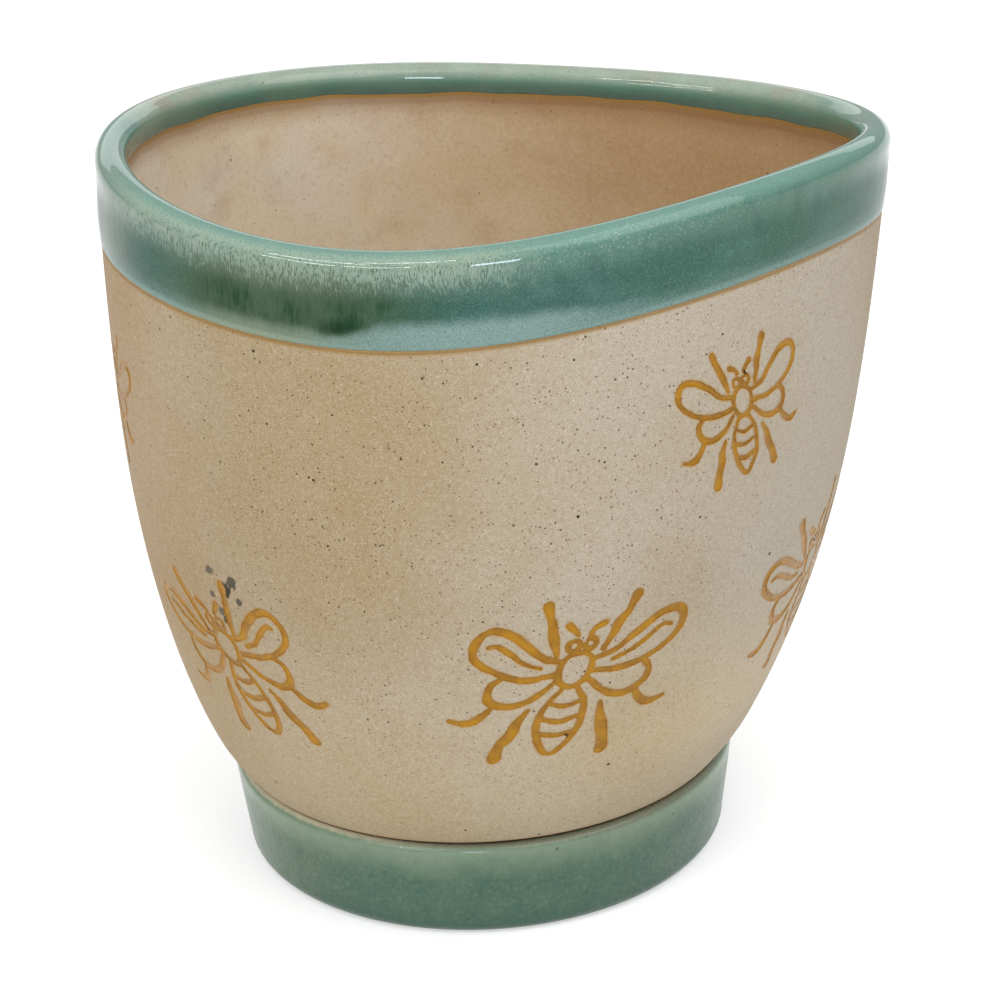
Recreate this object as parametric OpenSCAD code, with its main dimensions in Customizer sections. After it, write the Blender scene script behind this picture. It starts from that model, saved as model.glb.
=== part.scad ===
// Stoneware planter: a thrown pot with a pulled, three-cornered mouth and a glazed rim,
// standing in a round glazed saucer. Millimetres, +Z up, origin at the centre of the
// saucer's underside. Angles run counter-clockwise from +X, seen from above, and the
// front of the planter faces -Y.

/* [Saucer] */
// Radius of the saucer just above its rounded lower corner
saucer_base_r = 65; // [60:0.5:70]
// Outer radius of the saucer at its crest
saucer_rim_r = 67.6; // [65:0.2:72]
// Height of the saucer's crest above the table
saucer_h = 27; // [23:0.5:34]
// Thickness of the saucer's wall, and diameter of its rounded crest
saucer_wall = 4.2; // [3:0.1:6]
// Thickness of the saucer's floor
saucer_floor = 7; // [5:0.5:9]
// Radius of the outer corner between the underside and the wall
saucer_corner_r = 4; // [1:0.5:5]
// Radius of the inner corner between the floor and the wall
saucer_fillet_r = 4; // [1:0.5:6]

/* [Seat of the pot in the saucer] */
// Gap between the saucer's crest and the pot's lower edge
edge_gap = 0.8; // [0.4:0.1:2]
// How far the pot's lower edge lies inside the saucer's outer radius
edge_inset = 1.3; // [0.5:0.1:2.5]
// Free space round the foot at the saucer's floor
foot_clearance = 4; // [3:0.5:8]
// Gap that grit and glaze leave under the foot
seat_gap = 0.3; // [0.1:0.1:0.5]

/* [Foot] */
// Width of the ring that the pot stands on
foot_ring_w = 8; // [6:0.5:12]
// Depth of the hollow turned out of the foot
foot_recess = 13; // [8:0.5:15]
// Taper of the foot, as the radius that it gains on the way up
foot_taper = 1.5; // [0:0.5:2.5]
// Thickness of the pot's floor
floor_t = 8; // [6:0.5:11]
// Radius of the flat part of the pot's floor
floor_r = 40; // [30:1:44]
// Diameter of the drain hole
drain_d = 16; // [8:1:22]

/* [Belly] */
// Mean outer radius at the rim
rim_r = 92.8; // [87:0.2:99]
// Mean height of the lip's crest above the table
rim_h = 192; // [160:0.5:220]
// How early the belly swells: a higher power fills out lower down
flare = 3.4; // [2.5:0.1:5]
// How far the lower edge is trimmed in below the belly's curve
edge_tuck = 1.9; // [0.5:0.1:3]
// Height over which the lower edge is trimmed in
edge_tuck_h = 12; // [6:1:20]
// Thickness of the wall, and diameter of the rounded lip
wall = 7.8; // [5:0.2:9]
// Height above the pot's floor where the wall starts to curve into the floor
bowl_h = 24; // [18:1:32]

/* [Pulled mouth] */
// How far the mouth is pushed over towards +X
mouth_shift = 9.6; // [0:0.2:12]
// Half of what the mouth is longer than it is wide
oval = 7.8; // [0:0.2:12]
// Direction of the oval's long axis
oval_turn = -6; // [-45:1:45]
// How far the three corners are pulled out
corners = 2.3; // [0:0.1:6]
// Direction of the first of the three corners
corners_turn = 16.5; // [-60:0.5:60]
// How far the sides are pushed in between four points
sides_push = 1.5; // [0:0.1:3]
// Direction of the first of the four points
sides_turn = 31; // [-45:1:45]
// How the pulled shape fades towards the round foot: 1 fades evenly with height
fade = 0.97; // [0.8:0.01:1.4]

/* [Wavy rim] */
// Height by which the rim leans
rim_lean = 1.6; // [0:0.1:5]
// Direction in which the rim is highest
rim_lean_turn = 171; // [0:1:180]
// Height of the two waves of the rim
two_waves = 3.5; // [0:0.1:5]
// Direction of the first of the two waves
two_waves_turn = -29; // [-90:1:90]
// Height of the three waves of the rim
three_waves = 1.8; // [0:0.1:4]
// Direction of the first of the three waves
three_waves_turn = -47; // [-60:1:60]

/* [Rim glaze] */
// Thickness of the glaze on the rim
glaze_t = 0.5; // [0.3:0.05:0.9]
// Mean depth of the glaze below the crest, outside
glaze_depth = 24.8; // [18:0.2:32]
// How much deeper the glaze runs on its deepest side
glaze_lean = 4.5; // [0:0.1:6]
// Direction in which the glaze runs deepest
glaze_lean_turn = 108; // [0:1:180]
// Height of the two waves of the glaze's lower edge
glaze_waves = 2; // [0:0.1:3]
// Direction of the first of those waves
glaze_waves_turn = -77.5; // [-90:0.5:90]
// Depth of the glaze below the crest, inside
glaze_depth_in = 7.4; // [5:0.1:14]

/* [Hidden] */

// Facets round the pot, and rows of facets along each stretch of its section
facets = 80;
belly_rows = 13;
glaze_rows = 4;
lip_rows = 8;
lining_rows = 2;
inner_rows = 10;
bowl_rows = 7;
arc_steps = 10;
// Rows of the belly crowd towards the lower edge, where the curve is tight
row_crowding = 1.4;
// Hairline between clay and glaze, so that the two solids touch without overlapping
coat_gap = 0.02;
// Step in degrees for the slope of an outline
slope_step = 1;

// The seat: the pot stands on the saucer's floor, and its edge lies over the crest
seat_z = saucer_floor + seat_gap;
edge_z = saucer_h + edge_gap;
edge_r = saucer_rim_r - edge_inset;
belly_r = edge_r + edge_tuck;
saucer_inner_r = saucer_base_r - saucer_wall;
foot_r = saucer_inner_r - foot_clearance;
recess_z = seat_z + foot_recess;
floor_z = recess_z + floor_t;
bowl_z = floor_z + bowl_h;
lip_r = wall / 2;
// The saucer's wall leans out by this angle
saucer_lean = atan2(saucer_rim_r - saucer_base_r, saucer_h);

// Points of an arc in the plane of a turned section: radius first, then height
function arc(centre, r, from, to) =
    [for (k = [0:arc_steps]) let (t = from + (to - from) * k / arc_steps)
        centre + r * [cos(t), sin(t)]];

// Height of the lip's crest at angle a
function crest_z(a) =
    rim_h + rim_lean * cos(a - rim_lean_turn)
    + two_waves * cos(2 * (a - two_waves_turn))
    + three_waves * cos(3 * (a - three_waves_turn));

// How far the mouth's outline lies outside the mean circle at angle a
function mouth_bulge(a) =
    oval * cos(2 * (a - oval_turn))
    + corners * cos(3 * (a - corners_turn))
    + sides_push * cos(4 * (a - sides_turn));

// How deep the glaze runs outside at angle a
function glaze_drop(a) =
    glaze_depth + glaze_lean * cos(a - glaze_lean_turn)
    + glaze_waves * cos(2 * (a - glaze_waves_turn));

// Share of the way from the lower edge to the crest, for a depth below the crest
function share_at_depth(a, depth) = 1 - depth / (crest_z(a) - edge_z);

// Round radius of the belly at share s of its height, trimmed in at the lower edge
function belly(s, z) =
    rim_r - (rim_r - belly_r) * pow(1 - s, flare)
    - edge_tuck * pow(max(0, 1 - (z - edge_z) / edge_tuck_h), 2);

// A point of the outer wall at angle a and share s of the height
function skin_point(a, s) =
    let (z = edge_z + (crest_z(a) - edge_z) * s,
         pull = pow(s, fade),
         r = belly(s, z) + pull * mouth_bulge(a))
    [r * cos(a) + pull * mouth_shift, r * sin(a), z];

// The level direction straight out of the wall at that point
function outward(a, s) =
    let (d = skin_point(a + slope_step, s) - skin_point(a - slope_step, s))
    [d.y, -d.x, 0] / norm([d.x, d.y]);

// The same point moved inwards by a depth, level and square to the wall
function wall_point(a, s, depth) = skin_point(a, s) - depth * outward(a, s);

// A point of the rounded lip: turn 0 faces out, 90 is the crest and 180 faces in
function lip_point(a, turn, depth) =
    let (s = share_at_depth(a, lip_r), r = lip_r - depth)
    wall_point(a, s, lip_r) + r * cos(turn) * outward(a, s) + [0, 0, r * sin(turn)];

// A point of the bowl-shaped inside, from the floor (u = 0) up to the wall (u = 1)
function bowl_point(a, u) =
    let (s = (bowl_z - edge_z) / (crest_z(a) - edge_z),
         top = wall_point(a, s, wall),
         above = wall_point(a, s + 0.01, wall),
         start = [floor_r * cos(a), floor_r * sin(a), floor_z],
         rise = (top - above) / (above.z - top.z),
         knee = top + rise * (top.z - floor_z))
    pow(1 - u, 2) * start + 2 * u * (1 - u) * knee + u * u * top;

function ring_angles() = [for (i = [0:facets - 1]) 360 * i / facets];
function flat_ring(r, z) = [for (a = ring_angles()) [r * cos(a), r * sin(a), z]];

// Rings of the outer wall between two depths below the crest, both given by a share
function belly_rings(rows, depth) =
    [for (k = [0:rows]) [for (a = ring_angles())
        wall_point(a, share_at_depth(a, glaze_drop(a)) * pow(k / rows, row_crowding), depth)]];
function glazed_rings(rows, depth) =
    [for (k = [0:rows]) [for (a = ring_angles())
        wall_point(a, share_at_depth(a, glaze_drop(a) + (lip_r - glaze_drop(a)) * k / rows), depth)]];
function lip_rings(rows, depth) =
    [for (k = [1:rows]) [for (a = ring_angles()) lip_point(a, 180 * k / rows, depth)]];
function lining_rings(rows, depth) =
    [for (k = [1:rows]) [for (a = ring_angles())
        wall_point(a, share_at_depth(a, lip_r + (glaze_depth_in - lip_r) * k / rows), wall - depth)]];
function inner_rings(rows) =
    [for (k = [0:rows]) [for (a = ring_angles())
        let (from = share_at_depth(a, glaze_depth_in),
             to = (bowl_z - edge_z) / (crest_z(a) - edge_z))
        wall_point(a, from + (to - from) * k / rows, wall)]];
function bowl_rings(rows) =
    [for (k = [1:rows]) [for (a = ring_angles()) bowl_point(a, 1 - k / rows)]];

// Triangles between ring k and the next one
function band_faces(k, next) =
    [for (i = [0:facets - 1]) let (j = (i + 1) % facets)
        each [[k * facets + i, next * facets + i, next * facets + j],
              [k * facets + i, next * facets + j, k * facets + j]]];

// A solid skinned over rings that are closed by a flat face at each end
module skinned(rings) {
    last = len(rings) - 1;
    polyhedron(
        points = [for (ring = rings) each ring],
        faces = concat(
            [[for (i = [0:facets - 1]) i]],
            [for (k = [0:last - 1]) each band_faces(k, k + 1)],
            [[for (i = [facets - 1:-1:0]) last * facets + i]]));
}

// A solid skinned over rings whose last one meets the first
module looped(rings) {
    count = len(rings);
    polyhedron(
        points = [for (ring = rings) each ring],
        faces = [for (k = [0:count - 1]) each band_faces(k, (k + 1) % count)]);
}

// Turned saucer with a flat dry underside, a rounded crest and a filleted floor
module saucer() {
    crest_r = saucer_wall / 2;
    outer_corner = [saucer_base_r - saucer_corner_r, saucer_corner_r];
    crest = [saucer_rim_r - crest_r, saucer_h - crest_r];
    inner_corner = [saucer_inner_r - saucer_fillet_r, saucer_floor + saucer_fillet_r];
    color([0.45, 0.58, 0.51])
    rotate_extrude($fn = 180)
    polygon(concat(
        [[0, 0]],
        arc(outer_corner, saucer_corner_r, -90, -saucer_lean),
        arc(crest, crest_r, -saucer_lean, 180 - saucer_lean),
        arc(inner_corner, saucer_fillet_r, -saucer_lean, -90),
        [[0, saucer_floor]]));
}

// The clay pot: turned foot, undercut edge, belly, rounded lip, bowl-shaped inside
// and drain hole. Under the rim glaze the clay lies lower by the glaze's thickness.
module pot() {
    coat = glaze_t + coat_gap;
    color([0.80, 0.71, 0.58])
    difference() {
        skinned(concat(
            [flat_ring(foot_r - foot_ring_w, recess_z)],
            [flat_ring(foot_r - foot_ring_w, seat_z)],
            [flat_ring(foot_r, seat_z)],
            [flat_ring(foot_r + foot_taper, edge_z)],
            belly_rings(belly_rows, 0),
            glazed_rings(glaze_rows, coat),
            lip_rings(lip_rows, coat),
            lining_rings(lining_rows, coat),
            inner_rings(inner_rows),
            bowl_rings(bowl_rows)));
        translate([0, 0, seat_z])
        cylinder(d = drain_d, h = floor_z, $fn = 48);
    }
}

// The fused glass coat on the rim: over the lip, down the outside to a wavy edge and a
// little way down the inside
module rim_glaze() {
    face = concat(
        glazed_rings(glaze_rows, 0),
        lip_rings(lip_rows, 0),
        lining_rings(lining_rows, 0));
    back = concat(
        glazed_rings(glaze_rows, glaze_t),
        lip_rings(lip_rows, glaze_t),
        lining_rings(lining_rows, glaze_t));
    last = len(back) - 1;
    color([0.40, 0.60, 0.53])
    looped(concat(face, [for (k = [last:-1:0]) back[k]]));
}

saucer();
pot();
rim_glaze();
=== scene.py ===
"""Ceramic planter: a stamped stoneware pot with a glazed rim, standing in a glazed saucer."""

import math
from contextlib import contextmanager

import bpy
import numpy as np
from bpy.props import FloatProperty, FloatVectorProperty, IntProperty, PointerProperty
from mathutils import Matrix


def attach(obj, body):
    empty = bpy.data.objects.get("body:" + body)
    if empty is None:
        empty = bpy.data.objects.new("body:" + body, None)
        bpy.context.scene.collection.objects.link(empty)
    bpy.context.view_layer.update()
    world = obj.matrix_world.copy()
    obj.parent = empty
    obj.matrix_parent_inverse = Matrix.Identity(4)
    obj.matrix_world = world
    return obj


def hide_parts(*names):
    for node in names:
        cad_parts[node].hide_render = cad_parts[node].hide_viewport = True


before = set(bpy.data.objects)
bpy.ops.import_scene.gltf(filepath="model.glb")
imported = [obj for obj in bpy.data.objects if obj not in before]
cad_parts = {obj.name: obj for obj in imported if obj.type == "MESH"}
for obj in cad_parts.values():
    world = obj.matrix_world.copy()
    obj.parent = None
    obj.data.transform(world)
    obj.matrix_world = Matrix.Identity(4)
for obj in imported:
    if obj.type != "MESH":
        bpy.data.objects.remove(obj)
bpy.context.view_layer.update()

bl_info = {
    "name": "Ceramic planter",
    "version": (1, 0, 0),
    "blender": (4, 5, 0),
    "location": "3D View > Sidebar > Planter",
    "description": "Builds a stamped stoneware pot with a glazed rim, and its glazed saucer",
    "category": "Add Mesh",
}

MM = 0.001
# The angles at which each wave of the rim, of the mouth and of the glaze's edge peaks.
LEAN_TURN, TWO_TURN, THREE_TURN = 171, -29, -47
OVAL_TURN, CORNER_TURN, SIDE_TURN = -6, 16.5, 31
GLAZE_TURN, GLAZE_WAVE_TURN = 108, -77.5
PIN = .02 * MM           # the least step between two surfaces
FAR = 9 * MM             # a distance that means that no stamp is near
CLAY_UNDER = .35 * MM    # how far the clay falls back under the rim glaze
MERGE = .002 * MM        # corners this close become one
SHARP = 40               # edges over this angle stay sharp
GLAZE_COLUMNS, SAUCER_COLUMNS = 320, 288


def length(name, description, default):
    return FloatProperty(name=name, description=description, default=default,
                         unit="LENGTH", subtype="DISTANCE", precision=4)


def factor(name, description, default):
    return FloatProperty(name=name, description=description, default=default, subtype="FACTOR")


def tint(name, description, red, green, blue):
    """A colour property, whose default is given as screen() takes it."""
    return FloatVectorProperty(name=name, description=description, size=3, min=0, max=1.0,
                               default=screen(red, green, blue), subtype="COLOR")


def grey(level):
    return (level, level, level)


def screen(red, green, blue):
    """A colour for Blender, from the 0 to 255 values that a screen shows."""
    shares = [value / 255 for value in (red, green, blue)]
    return tuple(s / 12.92 if s <= .04045 else ((s + .055) / 1.055) ** 2.4 for s in shares)


class PlanterSizes(bpy.types.PropertyGroup):
    """Sizes of the planter, the same as in the CAD frame"""
    saucer_base: length("Saucer base radius", "Radius of the saucer at its foot", .065)
    saucer_rim: length("Saucer rim radius", "Radius of the saucer at its crest", .0676)
    saucer_height: length("Saucer height", "Height of the saucer's crest", .027)
    saucer_wall: length("Saucer wall", "Thickness of the saucer's wall", .0042)
    saucer_floor: length("Saucer floor", "Height of the saucer's floor", .007)
    saucer_corner: length("Saucer corner", "Radius of the saucer's lower corner", .004)
    seat: length("Seat", "Height at which the pot's foot stands", .0073)
    foot: length("Foot radius", "Outer radius of the pot's turned foot", .0568)
    foot_ring: length("Foot ring", "Width of the ring that the pot stands on", .008)
    foot_recess: length("Foot recess", "Depth of the hollow under the pot", .013)
    floor: length("Pot floor", "Thickness of the pot's floor", .008)
    floor_radius: length("Floor radius", "Radius of the level part of the floor", .04)
    drain: length("Drain radius", "Radius of the drain hole", .008)
    edge: length("Edge height", "Height of the pot's lower edge", .0278)
    belly: length("Belly radius", "Radius of the belly just above the edge", .0682)
    tuck: length("Tuck", "How far the belly is tucked in at the edge", .0019)
    tuck_height: length("Tuck height", "Height of the tuck", .012)
    rim: length("Rim radius", "Mean radius of the mouth", .0928)
    height: length("Height", "Mean height of the mouth's crest", .192)
    wall: length("Wall", "Thickness of the pot's wall", .0078)
    bowl: length("Bowl height", "Height of the bowl's curve above the floor", .024)
    flare: factor("Flare", "Power by which the belly opens", 3.4)
    fade: factor("Fade", "Power by which the pull on the mouth fades out below", .97)
    shift: length("Mouth shift", "How far the mouth is pushed to one side", .0096)
    oval: length("Oval", "Pull on the two long ends of the mouth", .0078)
    corners: length("Corners", "Pull on the three corners of the mouth", .0023)
    sides: length("Sides", "Push on the four sides of the mouth", .0015)
    lean: length("Lean", "How far the rim leans up on one side", .0016)
    two_waves: length("Two waves", "Height of the two waves of the rim", .0035)
    three_waves: length("Three waves", "Height of the three waves of the rim", .0018)
    glaze_depth: length("Glaze depth", "Mean depth of the glaze band outside", .0248)
    glaze_lean: length("Glaze lean", "How much deeper the band is on one side", .0045)
    glaze_waves: length("Glaze waves", "Height of the two waves of its edge", .002)
    glaze_inside: length("Glaze inside", "Depth of the glaze inside the mouth", .0074)
    glaze_thick: length("Glaze thickness", "How far the glaze stands proud of the clay", .0003)
    stamp_depth: length("Stamp depth", "Depth of the stamped lines in the clay", .0011)
    stamp_fill: length("Stamp fill", "Depth of the amber glaze below the clay", .00025)
    columns: IntProperty(name="Columns", description="Columns of faces round the pot",
                         default=148, min=48, max=240)


class PlanterColours(bpy.types.PropertyGroup):
    """Colours of the clay and the glazes, as they look in plain light"""
    clay: tint("Clay", "Bare clay", 179, 168, 150)
    # Also the colour of the painted shade on the pot's left side.
    clay_warm_and_shade: tint("Warm clay", "Clay where the fire has toasted it", 158, 135, 97)
    clay_inside: tint("Inside clay", "Bare clay inside the pot", 220, 205, 179)
    speck: tint("Specks", "Iron specks in the clay", 58, 40, 26)
    iron: tint("Iron line", "Brown line where the glaze thins out", 146, 112, 58)
    amber: tint("Amber glaze", "Glaze in the stamped lines", 168, 118, 8)
    amber_deep: tint("Deep amber", "The same glaze where it is thick", 128, 83, 2)
    rim_crest: tint("Rim crest", "Rim glaze where it is thin, on the crest", 110, 147, 135)
    # Also a painted reflection: the far crest is paler where it mirrors the sky.
    rim_cream_sheen: tint("Rim cream", "The same on the far side, thinner still", 158, 171, 155)
    rim_green: tint("Rim green", "Body colour of the rim glaze", 40, 84, 72)
    rim_streak: tint("Rim streaks", "Pale crystals that run down in the rim glaze", 156, 169, 150)
    rim_deep: tint("Rim pool", "Dark green where the rim glaze has pooled", 14, 56, 24)
    rim_band: tint("Rim band", "Milky band near the rim glaze's lower edge", 140, 164, 158)
    saucer: tint("Saucer", "Body colour of the saucer's glaze", 62, 95, 77)
    saucer_pale: tint("Saucer top", "Milky colour near the saucer's crest", 121, 140, 114)
    saucer_brown: tint("Saucer crest", "Thin glaze on the saucer's crest", 122, 108, 92)


# The wall of the pot

def cosine(degrees):
    return np.cos(np.radians(degrees))


def sine(degrees):
    return np.sin(np.radians(degrees))


def smooth(value, low, high):
    """0 below low, 1 above high, and a soft S between them."""
    t = np.clip((value - low) / (high - low), 0, 1)
    return t * t * (3 - 2 * t)


def ripple(points, size, seed):
    """A gentle random swell over space, about -1 to 1, with waves of about this size."""
    rng = np.random.default_rng(seed)
    total = np.zeros(len(points))
    for _ in range(10):
        direction = rng.normal(size=3)
        direction *= 2 * math.pi / size / np.linalg.norm(direction) * rng.uniform(.6, 1.4)
        total += np.sin(points @ direction + rng.uniform(0, 2 * math.pi))
    return total / math.sqrt(10)


class Wall:
    """The pulled wall, from the angle round the pot and the share of the way up."""

    def __init__(self, sizes):
        self.z = sizes
        self.lip = sizes.wall / 2
        self.recess_z = sizes.seat + sizes.foot_recess
        self.floor_z = self.recess_z + sizes.floor

    def crest(self, a):
        z = self.z
        return (z.height + z.lean * cosine(a - LEAN_TURN) + z.two_waves * cosine(2 * (a - TWO_TURN))
                + z.three_waves * cosine(3 * (a - THREE_TURN)))

    def drop(self, a):
        """Depth of the glaze band below the crest."""
        z = self.z
        return (z.glaze_depth + z.glaze_lean * cosine(a - GLAZE_TURN)
                + z.glaze_waves * cosine(2 * (a - GLAZE_WAVE_TURN)))

    def lined(self, a):
        """Depth of the glaze's edge inside the mouth, which wavers."""
        wander = .4 + .45 * cosine(6 * (a - 154)) + .14 * cosine(17 * a) + .12 * cosine(29 * a)
        wander = wander - .8 * np.exp(-((a % 360 - 90) / 11) ** 2)
        return self.z.glaze_inside + wander * MM

    def share(self, a, depth):
        """Share of the way up, for a depth below the crest."""
        return 1 - depth / (self.crest(a) - self.z.edge)

    def skin(self, a, s):
        """Points of the outer surface."""
        z = self.z
        height = z.edge + (self.crest(a) - z.edge) * s
        pull = np.maximum(s, 0) ** z.fade
        low = np.clip(1 - (height - z.edge) / z.tuck_height, 0, 1)
        radius = z.rim - (z.rim - z.belly) * np.maximum(1 - s, 0) ** z.flare - z.tuck * low ** 2
        radius = radius + pull * (z.oval * cosine(2 * (a - OVAL_TURN))
                                  + z.corners * cosine(3 * (a - CORNER_TURN))
                                  + z.sides * cosine(4 * (a - SIDE_TURN)))
        return np.stack([radius * cosine(a) + pull * z.shift, radius * sine(a), height], -1)

    def outward(self, a, s):
        """The level direction in which the surface faces."""
        step = self.skin(a + 1, s) - self.skin(a - 1, s)
        plan = np.stack([step[:, 1], -step[:, 0], 0 * a], -1)
        return plan / np.linalg.norm(plan, axis=1)[:, None]

    def inset(self, a, s, depth):
        """Points this deep under the outer surface."""
        return self.skin(a, s) - np.asarray(depth).reshape(-1, 1) * self.outward(a, s)

    def over_lip(self, a, turn, depth):
        """A point on the rounded lip: turn 0 faces out, 90 up and 180 in."""
        s = self.share(a, self.lip)
        out = self.outward(a, s)
        reach = (self.lip - depth).reshape(-1, 1)
        up = np.array([0, 0, 1.0])
        middle = self.skin(a, s) - self.lip * out
        return middle + reach * (cosine(turn)[:, None] * out + sine(turn)[:, None] * up)

    def bowl_share(self, a):
        """Share of the way up at which the bowl's curve meets the inner wall."""
        return (self.floor_z + self.z.bowl - self.z.edge) / (self.crest(a) - self.z.edge)

    def in_bowl(self, a, u):
        """The curve from the level floor, u 0, to the foot of the inner wall, u 1."""
        s = self.bowl_share(a)
        top = self.inset(a, s, self.z.wall + 0 * a)
        above = self.inset(a, s + .01, self.z.wall + 0 * a)
        slope = (top - above) / (above[:, 2] - top[:, 2])[:, None]
        knee = top + slope * (top[:, 2] - self.floor_z)[:, None]
        start = self.ring(a, self.z.floor_radius, self.floor_z)
        u = u[:, None]
        return (1 - u) ** 2 * start + 2 * u * (1 - u) * knee + u * u * top

    @staticmethod
    def ring(a, radius, height):
        """Points of a level circle."""
        return np.stack([radius * cosine(a), radius * sine(a), height + 0 * a], -1)


# The stamped bees

# A generic bee, in millimetres from the middle of its body, with its head up: each stroke is
# a row of points x, y and half width, drawn for the right side and mirrored where it is a pair.
MIDDLE_STROKES = (
    ((0, 5.0, .55), (2.9, 3.9, .6), (4.2, .4, .65), (3.1, -3.4, .7), (0, -4.9, .6),
     (-3.1, -3.4, .65), (-4.2, .4, .7), (-2.9, 3.9, .6), (0, 5.0, .55)),
    ((-2.2, -5.4, .55), (-4.6, -9.6, .6), (-5.5, -14.4, .75), (-4.8, -19.4, .8), (-2.5, -23.9, .75),
     (0, -25.8, .6), (2.5, -23.9, .7), (4.8, -19.4, .75), (5.5, -14.4, .8), (4.6, -9.6, .65),
     (2.2, -5.4, .55)),
    ((-4.3, -9.4, .5), (0, -10.5, .6), (4.3, -9.4, .5)),
    ((-5.2, -14.0, .5), (0, -15.2, .65), (5.2, -14.0, .5)),
    ((-4.6, -18.8, .5), (0, -19.9, .6), (4.6, -18.8, .5)),
)
PAIRED_STROKES = (
    ((1.95, 5.5, .45), (3.35, 6.2, .5), (3.5, 7.8, .5), (2.1, 8.6, .5), (.75, 7.8, .45),
     (.8, 6.2, .5), (1.95, 5.5, .45)),
    ((1.4, 9.7, .4), (2.6, 11.4, .65), (4.6, 12.8, .85)),
    ((6.0, 4.9, .45), (7.4, 8.8, 1.0), (8.4, 11.8, 1.2), (10.0, 15.2, .9), (11.3, 19.0, 1.3)),
    ((4.7, 2.9, .6), (9.4, 4.2, .75), (14.4, 8.4, .9), (19.8, 12.1, .95), (24.6, 12.6, .95),
     (27.2, 9.4, .9), (25.8, 4.8, .8), (20.6, .9, .7), (12.8, -1.5, .75), (4.8, -1.1, .65)),
    ((17.6, -.4, .6), (20.4, -3.1, .8), (19.6, -7.4, .95), (15.0, -9.4, .9), (9.4, -7.8, .75),
     (4.6, -3.4, .6)),
    ((18.6, -9.2, .6), (20.2, -11.8, .95), (22.6, -14.0, 1.05), (25.4, -14.4, .8),
     (28.2, -13.4, .4)),
    ((9.2, -11.2, .5), (10.8, -14.8, 1.0), (11.6, -18.4, 1.5), (13.3, -21.8, 1.3),
     (14.2, -25.8, 1.7)),
    ((9.2, 1.3, .4), (13.6, 3.0, .5), (17.8, 6.0, .6), (21.4, 8.6, .55), (23.6, 8.2, .4)),
)
SPREAD, NARROWEST = .11, .5       # how far a line widens in the clay, and its least half width
# Where each bee is pressed: angle round the pot, height in millimetres, size, height against
# width, turn in degrees and slant of its body. The small stamp has no veins in its wings.
BEES = (
    (283.2, 82.5, .97, 1, -1, .17), (221.2, 81.6, .9, 1, 6, -.36),
    (337.4, 86.3, .95, 1, 11, .04), (35.0, 83.0, .97, 1, -7, .1),
    (97.0, 84.5, .97, 1, 5, -.16), (160.0, 82.0, .97, 1, -9, .2),
    (309.2, 144.0, .65, 1.15, 6, -.08), (190.0, 139.0, .65, 1.15, -4, .08),
    (66.0, 141.0, .65, 1.15, 7, -.1),
)


def curve_through(knots, step):
    """A smooth curve through the knots, as points about one step apart."""
    knots = np.array(knots, float)
    closed = np.allclose(knots[0, :2], knots[-1, :2])
    before = knots[-2] if closed else 2 * knots[0] - knots[1]
    after = knots[1] if closed else 2 * knots[-1] - knots[-2]
    p = np.vstack([before, knots, after])
    out = []
    for k in range(1, len(p) - 2):
        count = max(2, int(np.linalg.norm(p[k + 1, :2] - p[k, :2]) / step))
        t = np.arange(count)[:, None] / count
        out.append(.5 * (2 * p[k] + (p[k + 1] - p[k - 1]) * t
                          + (2 * p[k - 1] - 5 * p[k] + 4 * p[k + 1] - p[k + 2]) * t ** 2
                          + (3 * p[k] - p[k - 1] - 3 * p[k + 1] + p[k + 2]) * t ** 3))
    return np.vstack(out + [knots[-1:]])


def bee_lines(seed, veined):
    """The bee's lines as short pieces: both ends, and the half width at both ends."""
    rng = np.random.default_rng(seed)
    strokes = [np.array(s) for s in MIDDLE_STROKES]
    for stroke in PAIRED_STROKES if veined else PAIRED_STROKES[:-1]:
        strokes += [np.array(stroke), np.array(stroke) * (-1, 1, 1)]
    pieces = []
    for stroke in strokes:
        wander = rng.normal(scale=(.16, .16, .05), size=stroke.shape)
        if np.allclose(stroke[0], stroke[-1]):
            wander[-1] = wander[0]
        line = curve_through(stroke + wander, .8)
        line[:, 2] = np.maximum(line[:, 2] + SPREAD, NARROWEST)
        pieces.append(np.hstack([line[:-1], line[1:]]))
    return np.vstack(pieces) * MM


def line_distance(x, y, pieces):
    """Distance from each point to the nearest edge of a line, below 0 inside the line."""
    best, reach = np.full(len(x), 1.0), 5 * MM       # no piece matters further off than this
    for ax, ay, aw, bx, by, bw in pieces:
        near = np.flatnonzero((np.abs(x - (ax + bx) / 2) < reach)
                              & (np.abs(y - (ay + by) / 2) < reach))
        px, py = x[near] - ax, y[near] - ay
        ex, ey = bx - ax, by - ay
        t = np.clip((px * ex + py * ey) / (ex * ex + ey * ey + 1e-12), 0, 1)
        gap = np.hypot(px - t * ex, py - t * ey) - (aw + t * (bw - aw))
        best[near] = np.minimum(best[near], gap)
    return best


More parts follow.
